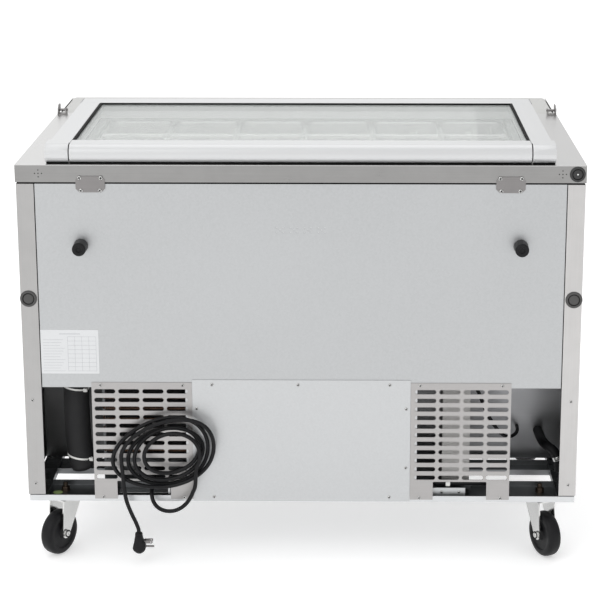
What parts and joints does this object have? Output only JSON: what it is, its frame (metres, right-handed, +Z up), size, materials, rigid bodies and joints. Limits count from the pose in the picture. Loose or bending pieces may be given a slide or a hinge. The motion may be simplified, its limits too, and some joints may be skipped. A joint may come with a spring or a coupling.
{
  "type": "sandwich prep table",
  "caption": "Refrigerated prep counter on swivel casters with a hinged glass lid over food pans, a cutting board, two doors, a rear compressor bay behind grilles and a coiled power cord.",
  "frame": {"origin": "on the floor under the middle of the table's box, measured without the cord", "axes": "+Z up, +X along the table's width, -Y towards the rear side with the service panel and cord, +Y towards the doors and cutting board"},
  "size_m": [1.225, 0.9005, 0.951],
  "materials": {
    "stainless": "brushed stainless sheet, fine grain",
    "galvanised": "galvanised sheet, fine spangle, matte",
    "foamed_body": null,
    "anodised": "satin anodised extrusion",
    "lid_glass": "clear double pane",
    "black_plastic": "moulded, satin",
    "black_rubber": "moulded, matte",
    "pipe_foam": "closed-cell foam tube",
    "tyre": "solid rubber, slight sheen",
    "zinc": "bright zinc plate",
    "pedal_red": "baked enamel",
    "copper": "drawn copper tube",
    "fins": "close-set aluminium fins",
    "enamel": "black enamel",
    "white_board": "dense polymer board, satin",
    "white_plastic": "moulded, satin",
    "white_wire": "polymer-coated wire",
    "light_grey": "moulded, matte"
  },
  "bodies": {
    "cabinet": {"base_frame": "galvanised", "countertop": "stainless", "side_panel_left": "stainless", "side_panel_right": "stainless", "rear_panel": "galvanised", "service_panel": "galvanised", "grille_rear_left": "stainless", "grille_rear_right": "stainless", "kick_grille": "stainless", "face_frame": "stainless", "insulated_tub": "foamed_body", "fixing_plate_left": "stainless", "fixing_plate_right": "stainless", "rear_bumper_left": "black_rubber", "rear_bumper_right": "black_rubber", "compressor_tray": "galvanised", "compressor": "enamel", "condenser_coil": "fins", "fan_housing": "galvanised", "junction_box": "light_grey", "terminal_box": "black_plastic", "suction_pipe_insulation": "pipe_foam", "discharge_pipe": "copper", "probe_cable": "black_plastic", "cord_gland": "black_rubber", "cord_lead": "black_rubber", "cord_coil": "black_rubber", "cord_tail": "black_rubber", "plug": "black_plastic", "evaporator_coil": "fins", "evaporator_cover": "white_plastic", "shelf_left": "white_wire", "shelf_right": "white_wire", "pans_row_rear": "stainless", "pans_row_middle": "stainless", "pans_row_front": "stainless", "pan_divider_rear": "stainless", "pan_divider_front": "stainless", "cutting_board": "white_board", "board_shelf": "stainless"},
    "lid": {"lid_rear_rail": "anodised", "lid_front_rail": "anodised", "lid_side_left": "anodised", "lid_side_right": "anodised", "lid_glass": "lid_glass"},
    "left_door": {"door_left": "stainless"},
    "right_door": {"door_right": "stainless"},
    "condenser_fan_rotor": {"condenser_fan": "black_plastic"},
    "evaporator_fan_rotor": {"evaporator_fan": "black_plastic"},
    "thermostat_dial": {"thermostat_knob": "black_plastic"},
    "caster_rear_left": {"caster_fork_rear_left": "zinc"},
    "wheel_rear_left": {"caster_wheel_rear_left": "tyre"},
    "caster_rear_right": {"caster_fork_rear_right": "zinc"},
    "wheel_rear_right": {"caster_wheel_rear_right": "tyre"},
    "caster_front_left": {"caster_fork_front_left": "zinc"},
    "wheel_front_left": {"caster_wheel_front_left": "tyre"},
    "brake_left": {"brake_pedal_left": "pedal_red"},
    "caster_front_right": {"caster_fork_front_right": "zinc"},
    "wheel_front_right": {"caster_wheel_front_right": "tyre"},
    "brake_right": {"brake_pedal_right": "pedal_red"}
  },
  "joints": [
    {"name": "lid_hinge", "type": "hinge", "parent": "cabinet", "child": "lid", "pos_m": [0, -0.394, 0.9305], "axis": [1, 0, 0], "range_deg": [0, 80]},
    {"name": "left_door_hinge", "type": "hinge", "parent": "cabinet", "child": "left_door", "pos_m": [-0.594, 0.316, 0.22], "axis": [0, 0, 1], "range_deg": [0, 105]},
    {"name": "right_door_hinge", "type": "hinge", "parent": "cabinet", "child": "right_door", "pos_m": [0.594, 0.316, 0.22], "axis": [0, 0, -1], "range_deg": [0, 105]},
    {"name": "condenser_fan_spin", "type": "hinge", "parent": "cabinet", "child": "condenser_fan_rotor", "pos_m": [-0.345, -0.302, 0.297], "axis": [0, 1, 0], "continuous": true},
    {"name": "evaporator_fan_spin", "type": "hinge", "parent": "cabinet", "child": "evaporator_fan_rotor", "pos_m": [0, -0.294, 0.61], "axis": [0, 1, 0], "continuous": true},
    {"name": "thermostat_turn", "type": "hinge", "parent": "cabinet", "child": "thermostat_dial", "pos_m": [0.2, -0.2637, 0.66], "axis": [0, 1, 0], "range_deg": [0, 270]},
    {"name": "swivel_rear_left", "type": "hinge", "parent": "cabinet", "child": "caster_rear_left", "pos_m": [-0.5375, -0.354, 0.1305], "axis": [0, 0, 1], "continuous": true},
    {"name": "roll_rear_left", "type": "hinge", "parent": "caster_rear_left", "child": "wheel_rear_left", "pos_m": [-0.55192, -0.378, 0.051], "axis": [0.8572, -0.515, 0], "continuous": true},
    {"name": "swivel_rear_right", "type": "hinge", "parent": "cabinet", "child": "caster_rear_right", "pos_m": [0.5375, -0.354, 0.1305], "axis": [0, 0, 1], "continuous": true},
    {"name": "roll_rear_right", "type": "hinge", "parent": "caster_rear_right", "child": "wheel_rear_right", "pos_m": [0.54933, -0.37938, 0.051], "axis": [0.9063, 0.4226, 0], "continuous": true},
    {"name": "swivel_front_left", "type": "hinge", "parent": "cabinet", "child": "caster_front_left", "pos_m": [-0.5375, 0.229, 0.1305], "axis": [0, 0, 1], "continuous": true},
    {"name": "roll_front_left", "type": "hinge", "parent": "caster_front_left", "child": "wheel_front_left", "pos_m": [-0.54615, 0.20237, 0.051], "axis": [0.9511, -0.309, 0], "continuous": true},
    {"name": "brake_left_press", "type": "hinge", "parent": "caster_front_left", "child": "brake_left", "pos_m": [-0.54692, 0.19999, 0.11], "axis": [0.9511, -0.309, 0], "range_deg": [0, 15]},
    {"name": "swivel_front_right", "type": "hinge", "parent": "cabinet", "child": "caster_front_right", "pos_m": [0.5375, 0.229, 0.1305], "axis": [0, 0, 1], "continuous": true},
    {"name": "roll_front_right", "type": "hinge", "parent": "caster_front_right", "child": "wheel_front_right", "pos_m": [0.55474, 0.20694, 0.051], "axis": [0.788, 0.6157, 0], "continuous": true},
    {"name": "brake_right_press", "type": "hinge", "parent": "caster_front_right", "child": "brake_right", "pos_m": [0.55628, 0.20497, 0.11], "axis": [0.788, 0.6157, 0], "range_deg": [0, 15]}
  ]
}
